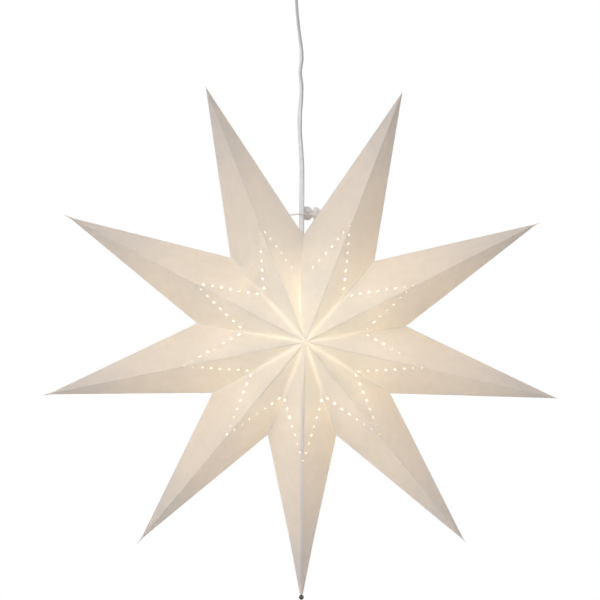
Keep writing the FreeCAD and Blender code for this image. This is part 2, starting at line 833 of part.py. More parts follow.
def block_screws():
    top = GRIP_TOP + BLOCK_TALL + 2.4
    screws = []
    for side in (-1, 1):
        for share in (0.25, 0.75):
            place = Vector(side * BLOCK_PITCH / 2, BLOCK_Y + BLOCK_LENGTH * share, BLOCK_Z + 1.7)
            head = Vector(place.x, place.y, top)
            screw = cylinder(TERMINAL_SCREW_RADIUS - 0.05, place, head)
            slot = block(head - Vector(2, 0.25, 0.6), head + Vector(2, 0.25, 0.6))
            screws.append(screw.cut(slot))
    return group(screws)


def ceiling_cup():
    """A tapered cup, open at the ceiling, that slides on the cord to reach the terminals."""
    wall = CUP_WALL
    outline = [
        (CUP_HOLE_RADIUS, CUP_FLOOR),
        (CUP_FLOOR_RADIUS, CUP_FLOOR),
        (CUP_RIM_RADIUS, CUP_RIM),
        (CUP_RIM_RADIUS - wall, CUP_RIM),
        (CUP_FLOOR_RADIUS - wall * 0.6, CUP_FLOOR + wall),
        (CUP_HOLE_RADIUS, CUP_FLOOR + wall),
    ]
    return turned(outline, Vector())


# ---------------------------------------------------------------- writing
def hung(shape):
    """Move a piece of the star from the star's own middle to where it hangs."""
    placed = shape.copy()
    placed.rotate(Vector(), Y, STAR_LEAN_DEG)
    placed.translate(Vector(0, -STAR_FORWARD, -STAR_DROP))
    return placed


def write(name, shape):
    if not shape.isValid():
        print("NOT VALID", name)
    shape.exportStep("parts/" + name + ".step")
    print(name, len(shape.Solids), "solids", round(shape.Volume, 1))


os.makedirs("parts", exist_ok=True)

for number in range(1, POINT_COUNT + 1):
    write("paper_point_" + str(number), hung(paper_point(number)))

for name, shape in {
    "drawstring": drawstring(),
    "lock_ball": lock_ball(),
    "lock_button": lock_button(),
    "lock_spring": lock_spring(),
    "tip_bead": tip_bead(),
    "bead_thread": bead_thread(),
}.items():
    write(name, hung(shape))

for name, shape in {
    "pendant_cord": pendant_cord(),
    "lower_core_live": lower_core(-1),
    "lower_core_neutral": lower_core(1),
    "upper_core_live": upper_core(-1),
    "upper_core_neutral": upper_core(1),
    "strain_relief": strain_relief(),
    "holder_cap": holder_cap(),
    "holder_skirt": holder_skirt(),
    "holder_insulator": holder_insulator(),
    "holder_terminal_screws": holder_screws(),
    "screw_shell": screw_shell(),
    "centre_contact": centre_contact(),
    "bulb_cap": bulb_cap(),
    "bulb_insulator": bulb_insulator(),
    "bulb_contact": bulb_contact(),
    "bulb_globe": bulb_globe(),
    "bulb_filament": bulb_filament(),
    "hanging_eye": hanging_eye(),
    "grip_screws": grip_screws(),
    "terminal_block": terminal_block(),
    "terminal_block_screws": block_screws(),
    "ceiling_cup": ceiling_cup(),
}.items():
    write(name, shape)
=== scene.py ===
"""The looks of the folded paper star pendant: lit white card on a flat white cord.

Metres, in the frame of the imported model: +X right, +Z up, the front faces -Y.
"""

import bmesh
import bpy
import json
from math import cos, hypot, pi, radians, sin

import numpy as np
from mathutils import Matrix, Vector
from mathutils.geometry import delaunay_2d_cdt


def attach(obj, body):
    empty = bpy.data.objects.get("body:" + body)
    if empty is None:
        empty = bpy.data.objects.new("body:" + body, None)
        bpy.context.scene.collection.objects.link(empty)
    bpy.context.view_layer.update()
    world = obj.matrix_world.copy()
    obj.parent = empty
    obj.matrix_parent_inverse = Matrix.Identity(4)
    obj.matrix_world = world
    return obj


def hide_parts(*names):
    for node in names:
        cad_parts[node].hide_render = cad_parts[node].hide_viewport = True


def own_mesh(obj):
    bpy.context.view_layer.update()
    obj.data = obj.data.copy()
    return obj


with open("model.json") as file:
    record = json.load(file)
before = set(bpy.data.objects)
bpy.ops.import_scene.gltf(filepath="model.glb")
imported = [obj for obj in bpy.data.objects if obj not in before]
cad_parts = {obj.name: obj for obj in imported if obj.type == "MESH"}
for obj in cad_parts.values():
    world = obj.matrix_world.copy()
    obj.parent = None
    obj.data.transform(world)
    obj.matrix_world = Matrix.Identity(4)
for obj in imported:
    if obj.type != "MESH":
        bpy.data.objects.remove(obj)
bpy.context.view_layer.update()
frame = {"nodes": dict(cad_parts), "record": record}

MM = 0.001

# ---------------------------------------------------------------- the star's sizes, as it is built
POINT_COUNT = 9
BOTTOM_POINT = 6
STAR_DROP = 437.0 * MM
STAR_LEAN = radians(1.6)
STAR_FORWARD = 2.8 * MM
TIP_RADIUS = 300.0 * MM
VALLEY_RADIUS = 119.7 * MM
STAR_DEPTH = 150.0 * MM
PAPER = 0.3 * MM
LIP_WIDTH = 8.0 * MM
GLUE_STRIP_WIDE = 5.0 * MM
GLUE_STRIP_NARROW = 1.5 * MM
GLUE_STRIP_START = 45.0 * MM
GLUE_STRIP_END = 283.0 * MM
HOLE_RADIUS = 1.3 * MM
HOLE_STEP = 10.0 * MM
HOLE_ROW = 7
HOLE_TOP_RADIUS = 136.0 * MM
HOLE_ROW_ANGLE = radians(17.0)
# Where each tip hangs: (degrees clockwise from straight up, share of TIP_RADIUS), then the valleys.
# They are worked out from the star's outline in the photograph.
TIP_HANG = [
    (338.3, 1.020),
    (21.6, 1.008),
    (63.7, 1.002),
    (103.1, 1.005),
    (141.1, 1.006),
    (179.8, 0.992),
    (218.2, 1.011),
    (256.9, 1.014),
    (296.7, 1.016),
]
VALLEY_HANG = [
    (359.8, 0.971),
    (42.8, 0.998),
    (83.5, 0.993),
    (122.3, 0.996),
    (160.6, 0.993),
    (199.2, 0.992),
    (237.8, 1.012),
    (277.0, 1.018),
    (317.3, 1.025),
]
# How long the thin flat tail at each tip is.
TIP_TAIL = [0.5, 0.5, 2.5, 1.0, 2.5, 0.0, 6.0, 6.0, 5.5]
TIP_CUT = 2.0 * MM  # off the bottom tip

# ---------------------------------------------------------------- camera
CAMERA_DISTANCE = 1.5  # taken: the outline fits as well from 1 m as from 2.5 m
CAMERA_SCALE = 0.8741  # pixels of the photograph per millimetre at the star
PICTURE = 600
SENSOR = 36.0
CAMERA_PITCH = radians(1.32)
CAMERA_YAW = radians(1.13)
CAMERA_ROLL = radians(-0.51)
STAR_IN_VIEW = Vector((3.2 * MM, -42.5 * MM, 0.0))  # the star's middle, off the middle of the view


def in_row(place):
    """A place given from the star's middle, in the frame of the hung pendant."""
    turned = Matrix.Rotation(STAR_LEAN, 3, "Y") @ Vector(place)
    return turned + Vector((0.0, -STAR_FORWARD, -STAR_DROP))


def make_camera():
    """The photograph's view: nearly level with the star and a little above its middle."""
    # In the camera's own axes x is right, y is up and z points back at the viewer.
    pitch = Matrix.Rotation(CAMERA_PITCH, 3, "X")
    yaw = Matrix.Rotation(CAMERA_YAW, 3, "Y")
    roll = Matrix.Rotation(CAMERA_ROLL, 3, "Z")
    seen = roll @ pitch @ yaw
    star_axes = Matrix(((1, 0, 0), (0, 0, 1), (0, -1, 0)))
    lean = Matrix.Rotation(STAR_LEAN, 3, "Y")
    row_to_camera = seen @ star_axes @ lean.transposed()
    camera_to_row = row_to_camera.transposed()
    middle = in_row((0, 0, 0))
    data = bpy.data.cameras.new("camera")
    data.sensor_width = SENSOR
    data.lens = SENSOR * CAMERA_SCALE * CAMERA_DISTANCE / MM / PICTURE
    data.clip_start = 0.05
    data.clip_end = 30
    camera = bpy.data.objects.new("camera", data)
    bpy.context.scene.collection.objects.link(camera)
    to_eye = Vector((0, 0, CAMERA_DISTANCE)) - STAR_IN_VIEW
    camera.matrix_world = Matrix.Translation(middle + camera_to_row @ to_eye) @ camera_to_row.to_4x4()
    bpy.context.scene.camera = camera


make_camera()

# ---------------------------------------------------------------- materials


class Shader:
    """A node tree with short ways to add and join its nodes."""

    def __init__(self, name):
        self.material = bpy.data.materials.new(name)
        self.material.use_nodes = True
        self.tree = self.material.node_tree
        self.tree.nodes.clear()

    def add(self, kind, links=None, **settings):
        node = self.tree.nodes.new("ShaderNode" + kind)
        for key, value in settings.items():
            if hasattr(node, key):
                setattr(node, key, value)
            else:
                node.inputs[key.replace("_", " ")].default_value = value
        for socket, source in (links or {}).items():
            self.tree.links.new(source, node.inputs[socket])
        return node

    def finish(self, surface):
        output = self.add("OutputMaterial")
        self.tree.links.new(surface, output.inputs["Surface"])
        return self.material

    def ramp(self, source, stops):
        node = self.add("ValToRGB", {"Fac": source})
        elements = node.color_ramp.elements
        while len(elements) < len(stops):
            elements.new(0.5)
        for element, (place, colour) in zip(elements, stops):
            element.position = place
            element.color = (*colour, 1)
        return node.outputs["Color"]

    def near(self, name, width):
        """One on a fold, falling to nothing at the given distance from it."""
        away = self.add("Attribute", attribute_name=name).outputs["Fac"]
        node = self.add("MapRange", {"Value": away}, interpolation_type="SMOOTHSTEP")
        node.inputs["From Max"].default_value = width
        node.inputs["To Min"].default_value = 1.0
        node.inputs["To Max"].default_value = 0.0
        return node.outputs[0]

    def share_of(self, name, reach):
        """A stored distance as a share of the given reach."""
        away = self.add("Attribute", attribute_name=name).outputs["Fac"]
        node = self.add("MapRange", {"Value": away})
        node.inputs["From Max"].default_value = reach
        return node.outputs[0]

    def place(self):
        return self.add("TexCoord").outputs["Object"]

    def stretched(self, scale):
        return self.add("Mapping", {"Vector": self.place()}, Scale=scale).outputs["Vector"]

    def noise(self, scale, detail=3.0, roughness=0.5, vector=None):
        return self.add(
            "TexNoise", {"Vector": vector or self.place()}, Scale=scale, Detail=detail, Roughness=roughness
        ).outputs["Fac"]

    def bump(self, height, strength, distance):
        return self.add("Bump", {"Height": height}, Strength=strength, Distance=distance).outputs["Normal"]


def paper_material(name, face, glow, clear_share):
    """White card: it scatters the room's light on its face and passes on the bulb's from behind. Light and
    shade are also painted on it.
    """
    s = Shader(name)
    clouds = s.noise(90.0, 4.0, 0.6)
    shade = s.ramp(clouds, [(0.3, [c * 0.985 for c in face]), (0.7, [min(1.0, c * 1.01) for c in face])])
    lamp_shade = s.ramp(clouds, [(0.3, [c * 0.95 for c in glow]), (0.7, [min(1.0, c * 1.04) for c in glow])])
    valley = s.near("from_valley", VALLEY_LINE)
    seam = s.add("Attribute", attribute_name="seam_light").outputs["Fac"]
    spread = s.ramp(s.share_of("from_middle", EVEN_REACH), EVENNESS)
    spread_shade = s.add("MixRGB", {"Color1": lamp_shade, "Color2": spread}, Fac=1.0, blend_type="MULTIPLY")
    # Painted light: a bright line along each valley.
    line_shade = s.add("MixRGB", {"Fac": valley, "Color1": spread_shade.outputs[0]}, Color2=(*BRIGHT_LINE, 1))
    # Painted light: the streak and wash on the top seam's left sheet.
    seam_shade = s.add("MixRGB", {"Fac": seam, "Color1": line_shade.outputs[0]}, Color2=(*SEAM_BRIGHT, 1))
    # Painted shade: a darker tone where the bottom point's card is doubled.
    strip = s.share_of("strip_depth", STRIP_EDGE)
    lit_shade = s.add("MixRGB", {"Fac": strip, "Color1": seam_shade.outputs[0]}, Color2=(*STRIP_PAINTED_SHADE, 1))
    # Painted shade: the face darker towards the tips.
    tip_shade_ramp = s.ramp(s.share_of("from_middle", TIP_PAINTED_SHADE_REACH), TIP_PAINTED_SHADE)
    tip_shaded_face = s.add("MixRGB", {"Color1": shade, "Color2": tip_shade_ramp}, Fac=1.0, blend_type="MULTIPLY")
    fibres = s.noise(1.0, 4.0, 0.65, s.stretched((900, 900, 2300)))
    normal = s.bump(fibres, 0.10, 0.00015)
    front = s.add("BsdfDiffuse", {"Color": tip_shaded_face.outputs[0], "Normal": normal}, Roughness=0.3)
    through = s.add("BsdfTranslucent", {"Color": lit_shade.outputs[0], "Normal": normal})
    mixed = s.add("MixShader", {1: front.outputs[0], 2: through.outputs[0]}, Fac=clear_share)
    return s.finish(mixed.outputs[0])


def plain_card(name, face, glow, clear_share):
    """The same card where it is folded inside: no creases of its own."""
    s = Shader(name)
    clouds = s.noise(90.0, 4.0, 0.6)
    shade = s.ramp(clouds, [(0.3, [c * 0.985 for c in face]), (0.7, [min(1.0, c * 1.01) for c in face])])
    front = s.add("BsdfDiffuse", {"Color": shade}, Roughness=0.3)
    through = s.add("BsdfTranslucent", Color=(*glow, 1))
    mixed = s.add("MixShader", {1: front.outputs[0], 2: through.outputs[0]}, Fac=clear_share)
    return s.finish(mixed.outputs[0])


def plastic(name, colour, roughness):
    """Moulded plastic with faint flow marks and a fine satin grain."""
    s = Shader(name)
    clouds = s.noise(60.0)
    shade = s.ramp(clouds, [(0.35, [c * 0.96 for c in colour]), (0.65, [min(1.0, c * 1.02) for c in colour])])
    normal = s.bump(s.noise(1600.0), 0.06, 0.0002)
    surface = s.add("BsdfPrincipled", {"Base Color": shade, "Normal": normal}, Roughness=roughness)
    return s.finish(surface.outputs[0])


def metal(name, colour, roughness, strength=0.08):
    """Turned or pressed metal with fine drawn lines."""
    s = Shader(name)
    lines = s.noise(1.0, 5.0, 0.6, s.stretched((300, 300, 5000)))
    shade = s.ramp(lines, [(0.3, [c * 0.88 for c in colour]), (0.7, [min(1.0, c * 1.05) for c in colour])])
    normal = s.bump(lines, strength, 0.0001)
    surface = s.add(
        "BsdfPrincipled", {"Base Color": shade, "Normal": normal}, Metallic=1.0, Roughness=roughness
    )
    return s.finish(surface.outputs[0])


def milky_plastic(name):
    """Milky moulded plastic: nearly half the light that reaches it goes on through."""
    s = Shader(name)
    clouds = s.noise(160.0)
    shade = s.ramp(clouds, [(0.35, (0.92, 0.885, 0.86)), (0.65, (0.96, 0.93, 0.905))])
    normal = s.bump(s.noise(700.0), 0.08, 0.0002)
    front = s.add("BsdfDiffuse", {"Color": shade, "Normal": normal})
    through = s.add("BsdfTranslucent", {"Color": shade, "Normal": normal})
    mixed = s.add("MixShader", {1: front.outputs[0], 2: through.outputs[0]}, Fac=0.45)
    return s.finish(mixed.outputs[0])


def lit_glass(name, colour, strength):
    """The frosted bulb, lit from inside."""
    s = Shader(name)
    normal = s.bump(s.noise(900.0), 0.05, 0.0002)
    surface = s.add("BsdfPrincipled", {"Normal": normal}, Roughness=0.5)
    surface.inputs["Base Color"].default_value = (0.95, 0.93, 0.90, 1)
    surface.inputs["Emission Color"].default_value = (*colour, 1)
    surface.inputs["Emission Strength"].default_value = strength
    return s.finish(surface.outputs[0])


def cord_plastic(name, colour):
    """The cord's sheath, with painted shade in its groove and at its round edges, to look as photographed."""
    s = Shader(name)
    clouds = s.noise(120.0)
    shade = s.ramp(clouds, [(0.35, [c * 0.96 for c in colour]), (0.65, [min(1.0, c * 1.02) for c in colour])])
    # Painted shade: darker towards the round edges and in the groove.
    edge = s.ramp(s.share_of("round_edge", 1.0), [(0.55, (1, 1, 1)), (1.0, (0.56, 0.56, 0.57))])
    edge_shaded = s.add("MixRGB", {"Color1": shade, "Color2": edge}, Fac=1.0, blend_type="MULTIPLY")
    normal = s.bump(s.noise(1500.0), 0.06, 0.0002)
    surface = s.add("BsdfPrincipled", {"Base Color": edge_shaded.outputs[0], "Normal": normal}, Roughness=0.42)
    return s.finish(surface.outputs[0])


def woven(name, colour, strands):
    """Braided string: small slanting ribs of thread, thin enough to let some light through."""
    s = Shader(name)
    ribs = s.add(
        "TexWave", {"Vector": s.stretched((strands, strands, strands * 1.7))}, Scale=1.0, Distortion=1.5
    ).outputs["Fac"]
    shade = s.ramp(ribs, [(0.1, [c * 0.92 for c in colour]), (0.8, colour)])
    normal = s.bump(ribs, 0.3, 0.0002)
    front = s.add("BsdfDiffuse", {"Color": shade, "Normal": normal}, Roughness=0.3)
    through = s.add("BsdfTranslucent", {"Color": shade, "Normal": normal})
    mixed = s.add("MixShader", {1: front.outputs[0], 2: through.outputs[0]}, Fac=0.35)
    return s.finish(mixed.outputs[0])


PAPER_FACE = (0.87, 0.845, 0.83)
PAPER_INSIDE = (0.97, 0.935, 0.865)
FACE_GLOW = (0.97, 0.93, 0.85)
INSIDE_GLOW = (0.96, 0.90, 0.78)
FACE_CLEAR = 0.34
INSIDE_CLEAR = 0.32
# Painted light and shade, tuned to the photograph: bright valley lines, the seam's streak, the glued strip's
# shade.
VALLEY_LINE = 5.5 * MM
BRIGHT_LINE = (0.84, 0.86, 0.86)
SEAM_BRIGHT = (1.0, 1.0, 0.98)
STRIP_PAINTED_SHADE = (0.60, 0.62, 0.66)
STRIP_EDGE = 0.3 * MM
# How much of the bulb's light the card passes on, from the star's middle out: (share of the reach, share).
# Tuned until the faces' tones came near the photograph's. Real card has no such change across it.
EVEN_REACH = 250.0 * MM
EVENNESS = [
    (0.0, (0.555, 0.595, 0.645)),
    (0.24, (0.585, 0.62, 0.66)),
    (0.36, (0.78, 0.80, 0.815)),
    (0.46, (0.78, 0.78, 0.775)),
    (0.56, (0.81, 0.785, 0.745)),
    (0.68, (0.89, 0.85, 0.785)),
    (0.80, (0.96, 0.90, 0.81)),
]
# Painted shade: the card's face darker towards the tips, tuned to the photograph in the same way.
TIP_PAINTED_SHADE_REACH = 320.0 * MM
TIP_PAINTED_SHADE = [
    (0.55, (1.0, 1.0, 1.0)),
    (0.75, (0.95, 0.945, 0.95)),
    (0.88, (0.90, 0.89, 0.90)),
    (0.97, (0.83, 0.82, 0.84)),
]
BULB_COLOUR = (1.0, 0.86, 0.66)
BULB_STRENGTH = 94.0  # tuned together with the stops above

PAPER_MATERIAL = paper_material("paper_card", PAPER_FACE, FACE_GLOW, FACE_CLEAR)
INSIDE_MATERIAL = plain_card("paper_inside", PAPER_INSIDE, INSIDE_GLOW, INSIDE_CLEAR)
LIP_MATERIAL = plain_card("paper_lip", PAPER_INSIDE, (0.99, 0.97, 0.93), 0.75)
MATERIALS = {
    "paper": PAPER_MATERIAL,
    "string": woven("braided_string", (0.97, 0.94, 0.92), 2600.0),
    "thread": woven("grey_thread", (0.30, 0.29, 0.28), 4000.0),
    "clear_plastic": milky_plastic("milky_moulding"),
    "spring_steel": metal("spring_wire", (0.62, 0.61, 0.60), 0.3),
    "bead_metal": metal("dark_bead", (0.10, 0.095, 0.09), 0.07, 0.01),
    "cord_sheath": cord_plastic("cord_sheath", (0.87, 0.86, 0.87)),
    "soft_white_plastic": plastic("soft_white", (0.82, 0.82, 0.80), 0.6),
    "white_plastic": plastic("white_moulding", (0.84, 0.84, 0.82), 0.32),
    "natural_plastic": plastic("milky_nylon", (0.78, 0.77, 0.72), 0.45),
    "zinc_steel": metal("zinc_plate", (0.68, 0.68, 0.70), 0.35),
    "brass": metal("pressed_brass", (0.78, 0.60, 0.30), 0.3),
    "brown_core": plastic("brown_core", (0.22, 0.10, 0.05), 0.4),
    "blue_core": plastic("blue_core", (0.06, 0.20, 0.55), 0.4),
    "ceramic": plastic("cream_ceramic", (0.82, 0.79, 0.72), 0.25),
    "nickel": metal("plated_cap", (0.72, 0.71, 0.69), 0.25),
    "dark_glass": plastic("dark_glass", (0.03, 0.03, 0.035), 0.1),
    "frosted_glass": lit_glass("frosted_bulb", BULB_COLOUR, BULB_STRENGTH),
    "lamp_rod": lit_glass("lamp_rod", (1.0, 0.85, 0.6), 2.0),
}


def finish_cad_nodes():
    """Every piece that keeps its built shape gets its finish."""
    slots = {part["node"]: part["material_slot"] for part in frame["record"]["subparts"]}
    for node, piece in frame["nodes"].items():
        material = MATERIALS[slots[node]]
        if not piece.material_slots:
            piece.data.materials.append(material)
        for used in piece.material_slots:
            used.material = material


finish_cad_nodes()


def new_piece(name, points, faces, material, body, stands_for=()):
    mesh = bpy.data.meshes.new(name)
    mesh.from_pydata([tuple(p) for p in points], [], faces)
    mesh.validate()
    mesh.materials.append(material)
    piece = bpy.data.objects.new(name, mesh)
    bpy.context.scene.collection.objects.link(piece)
    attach(piece, body)
    if stands_for:
        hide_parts(*stands_for)
    return piece


# ---------------------------------------------------------------- cord
CORD_WIDE = 5.6 * MM
CORD_THICK = 3.8 * MM
CORD_SIDES = 24
# Painted shade lies in the cord's groove and at its round edges.
GROOVE_FALL = 4.0  # how quickly the groove's shade fades away from it
# The cord's route from the ceiling grip down to the lampholder: (x, height over the star's middle).
CORD_ROUTE = [
    (0.0, 415.0),
    (-0.3, 383.0),
    (2.2, 351.0),
    (5.8, 320.0),
    (2.2, 303.0),
    (5.0, 284.0),
    (0.2, 247.0),
    (3.0, 200.0),
    (2.4, 175.0),
    (0.0, 79.0),
]
# How far the flat cord's broad side is turned from the front, by height over the star's middle.
CORD_TWIST = [
    (415.0, 95.0),
    (350.0, 88.0),
    (318.0, 60.0),
    (302.0, 76.0),
    (280.0, 64.0),
    (250.0, 30.0),
    (234.0, 52.0),
    (205.0, 36.0),
    (160.0, 4.0),
    (79.0, 0.0),
]


def spline_points(name, points, resolution=16):
    """Points along a smooth spline whose control points are the route's points."""
    data = bpy.data.curves.new(name, "CURVE")
    data.dimensions = "3D"
    data.resolution_u = resolution
    spline = data.splines.new("NURBS")
    spline.points.add(len(points) - 1)
    for point, place in zip(spline.points, points):
        point.co = (*place, 1.0)
    spline.order_u = 3
    spline.use_endpoint_u = True
    route = bpy.data.objects.new(name, data)
    bpy.context.scene.collection.objects.link(route)
    bpy.context.view_layer.update()
    mesh = bpy.data.meshes.new_from_object(route)
    path = [v.co.copy() for v in mesh.vertices]
    bpy.data.meshes.remove(mesh)
    bpy.data.objects.remove(route)
    return path


def tube(path, section_at, sides):
    """Rings round a path, closed at both ends; section_at gives a ring's (u, v) outline at a step."""
    points = []
    across = None
    for step, place in enumerate(path):
        ahead = (path[min(step + 1, len(path) - 1)] - path[max(step - 1, 0)]).normalized()
        if across is None:
            across = Vector((1, 0, 0)) if abs(ahead.x) < 0.8 else Vector((0, 0, 1))
        across = (across - ahead * across.dot(ahead)).normalized()
        upward = ahead.cross(across)
        points += [place + across * u + upward * v for u, v in section_at(step)]
    rings = len(path)
    faces = []
    for ring in range(rings - 1):
        first, above = ring * sides, (ring + 1) * sides
        for side in range(sides):
            after = (side + 1) % sides
            faces.append((first + side, first + after, above + after, above + side))
    faces.append(tuple(reversed(range(sides))))
    faces.append(tuple((rings - 1) * sides + side for side in range(sides)))
    return points, faces


def smooth(piece, angle=radians(40)):
    piece.data.shade_smooth()
    piece.data.set_sharp_from_angle(angle=angle)


def make_cord():
    """A flat twin cord: two round cores side by side in one sheath, twisting as it hangs."""
    route = [Vector((x * MM, 0, height * MM - STAR_DROP)) for x, height in CORD_ROUTE]
    path = spline_points("cord_route", route)
    heights = [h for h, _ in CORD_TWIST][::-1]
    turns = [t for _, t in CORD_TWIST][::-1]
    lobe = CORD_THICK / 2
    reach = CORD_WIDE / 2 - lobe

    def section(step):
        height = (path[step].z + STAR_DROP) / MM
        turn = radians(float(np.interp(height, heights, turns)))
        ring = []
        for side in range(CORD_SIDES):
            angle = 2 * pi * (side + 0.5) / CORD_SIDES
            middle = reach if cos(angle) > 0 else -reach
            u = middle + lobe * cos(angle)
            v = lobe * sin(angle)
            ring.append((u * cos(turn) - v * sin(turn), u * sin(turn) + v * cos(turn)))
        return ring

    points, faces = tube(path, section, CORD_SIDES)
    # Painted shade for the sheath, strongest at its round edges and in the groove between the cores.
    outward = [abs(cos(2 * pi * (side + 0.5) / CORD_SIDES)) for side in range(CORD_SIDES)]
    edge = [max(share, 1 - share * GROOVE_FALL) for share in outward]
    piece = new_piece(
        "cord_sheath", points, faces, MATERIALS["cord_sheath"], "pendant", ["pendant_cord"]
    )
    smooth(piece, radians(60))
    piece.data.attributes.new("round_edge", "FLOAT", "POINT").data.foreach_set("value", edge * len(path))


make_cord()


# ---------------------------------------------------------------- paper star
def ray(angle, radius):
    return Vector((radius * sin(radians(angle)), 0, radius * cos(radians(angle))))


def tip(index):
    angle, share = TIP_HANG[index - 1]
    return ray(angle, TIP_RADIUS * share)


def valley(index):
    angle, share = VALLEY_HANG[index - 1]
    return ray(angle, VALLEY_RADIUS * share)


RING_SIDES = 12
RIDGE_STEPS = 60
CREASE_STEPS = 40
VALLEY_STEPS = 26
GRID = 6.0 * MM
ROW_STEP = 0.866 * GRID  # between the rows of a grid of even triangles
CLEAR_OF_HOLE = 1.9 * MM
BULGE = 0.9 * MM
MIDDLE_PRODUCT = 1 / 27  # the product of three equal weights that add up to one
RIPPLE = 0.25 * MM
RIPPLE_ALONG = 31.0  # radians per metre
RIPPLE_ACROSS = 47.0
RIPPLE_EDGE = 1 / 12
SEED_BY_POINT = 2.3  # these give each facet its own ripple
SEED_BY_FACET = 1.1
TAPER_LENGTH = 200.0 * MM
TAIL_HALF = 0.5 * MM
BLUNT_LENGTH = 64.0 * MM  # how far up from the bottom tip the point is a little wider for it
BLUNT_HALF = 1.8 * MM
NEAR_TIP = 0.02  # the last step before a tip, as a share of the one before it
# How wide the bottom point's painted strip shade is, by the centre and at the tip.
STRIP_SHADE_WIDE = 6.0 * MM
STRIP_SHADE_NARROW = 2.6 * MM
SEAM_BOW = 4.6 * MM
SEAM_REACH = 0.25
SEAM_BOW_SKEW = 0.8  # under one moves the bow's deepest place towards the centre
# Along the seam, 0 is the centre and 1 the valley corner; away from it, 1 is the tip.
SEAM_GLOW_REACH = 0.06
SEAM_GLOW_END = 0.70
SEAM_GLOW_FADE = 0.22
SEAM_GLOW_RISE = 0.12
SEAM_SHUT_START = 0.45
SEAM_SHUT_FADE = 0.2
SEAM_WASH = 0.8
SEAM_WASH_REACH = 0.7
FRONT_SHIFT = Vector((1.2 * MM, 0, -1.0 * MM))  # the front centre shows a little off the star's middle
LIP_GAP = 1.6 * PAPER  # from the sleeve's outer face to a lip's middle
LIP_END = 0.985
LIP_START = 0.45  # the lips are trimmed away from the front and back centres


def pricked_rows(index):
    """The holes of one point: the ridge hole, then the row beside each valley."""
    peak = tip(index)
    outward = peak.normalized()
    rows = []
    for side in (valley(index - 1), valley(index)):
        across = (side - outward * side.dot(outward)).normalized()
        run = outward * -cos(HOLE_ROW_ANGLE) + across * sin(HOLE_ROW_ANGLE)
        rows.append([outward * HOLE_TOP_RADIUS + run * HOLE_STEP * n for n in range(1, HOLE_ROW + 1)])
    return outward * HOLE_TOP_RADIUS, rows


class Facet:
    """One flat triangle of a point: centre, tip and valley corner, with its holes punched."""

    def __init__(self, centre, peak, corner, seed):
        self.centre = centre
        self.peak = peak
        self.corner = corner
        self.along = (peak - centre).normalized()
        side = corner - centre
        self.across = (side - self.along * side.dot(self.along)).normalized()
        self.normal = self.along.cross(self.across)
        if self.normal.y * centre.y < 0:
            self.normal = -self.normal
        self.seed = seed

    def flat(self, place):
        offset = place - self.centre
        return Vector((offset.dot(self.along), offset.dot(self.across)))

    def onto(self, place):
        """Where a line front to back through place meets this facet, in its own two axes."""
        depth = (self.centre - place).dot(self.normal) / self.normal.y
        return self.flat(place + Vector((0, depth, 0)))

    def solid(self, point):
        return self.centre + self.along * point.x + self.across * point.y

    def ring(self, hole, outward, half):
        """A hole's edge; half leaves only this facet's side of a hole on the ridge."""
        sideways = (self.corner - outward * self.corner.dot(outward)).normalized()
        spots = []
        for n in range(RING_SIDES // 2 + 1 if half else RING_SIDES):
            angle = pi - 2 * pi * n / RING_SIDES
            spots.append(hole + (outward * cos(angle) + sideways * sin(angle)) * HOLE_RADIUS)
        return [self.onto(s) for s in spots]


def edge_steps(start, end, count):
    return [start.lerp(end, n / count) for n in range(count + 1)]


def facet_mesh(facet, ridge_hole, row, outward):
    """The facet as small triangles: edge steps that its neighbours share, holes and a loose grid."""
    notch = facet.ring(ridge_hole, outward, True)
    a, b, c = facet.flat(facet.centre), facet.flat(facet.peak), facet.flat(facet.corner)
    lower = edge_steps(a, Vector((notch[0].x, 0)), RIDGE_STEPS // 3)
    upper = edge_steps(Vector((notch[-1].x, 0)), b, RIDGE_STEPS * 2 // 3)
    crease = edge_steps(b, c, CREASE_STEPS)
    upper.insert(-1, b.lerp(upper[-2], NEAR_TIP))
    crease.insert(1, b.lerp(crease[1], NEAR_TIP))
    outline = lower[:-1] + notch + upper[1:] + crease[1:]
    outline += edge_steps(c, a, VALLEY_STEPS)[1:-1]
    points = list(outline)
    edges = [(n, (n + 1) % len(outline)) for n in range(len(outline))]
    middles = [facet.onto(hole) for hole in row]
    for hole in row:
        ring = facet.ring(hole, outward, False)
        first = len(points)
        points += ring
        edges += [(first + n, first + (n + 1) % len(ring)) for n in range(len(ring))]
    rows = int(c.y / ROW_STEP) + 1
    for line in range(1, rows):
        y = line * ROW_STEP
        left = a.x + (c.x - a.x) * y / c.y
        right = b.x + (c.x - b.x) * y / c.y
        x = left + GRID * (0.5 + 0.5 * (line % 2))
        while x < right - GRID * 0.5:
            spot = Vector((x, y))
            if all((spot - m).length > CLEAR_OF_HOLE for m in middles + [Vector((notch[3].x, 0))]):
                points.append(spot)
            x += GRID
    made, _, triangles, _, _, _ = delaunay_2d_cdt(points, edges, [list(range(len(outline)))], 1, 1e-7)
    kept = []
    for triangle in triangles:
        middle = sum((made[n] for n in triangle), Vector((0, 0))) / 3
        if all((middle - m).length > HOLE_RADIUS * 0.9 for m in middles):
            kept.append(tuple(triangle))
    return made, kept


FRONT = Vector((0, -STAR_DEPTH / 2, 0)) + FRONT_SHIFT
BACK = Vector((0, STAR_DEPTH / 2, 0))


def weights(facet, point):
    """How near a place is to the centre, the tip and the valley corner; they add up to one."""
    a, b, c = facet.flat(facet.centre), facet.flat(facet.peak), facet.flat(facet.corner)
    third = point.y / c.y
    second = (point.x - a.x - third * (c.x - a.x)) / (b.x - a.x)
    return max(1 - second - third, 0), max(second, 0), max(third, 0)


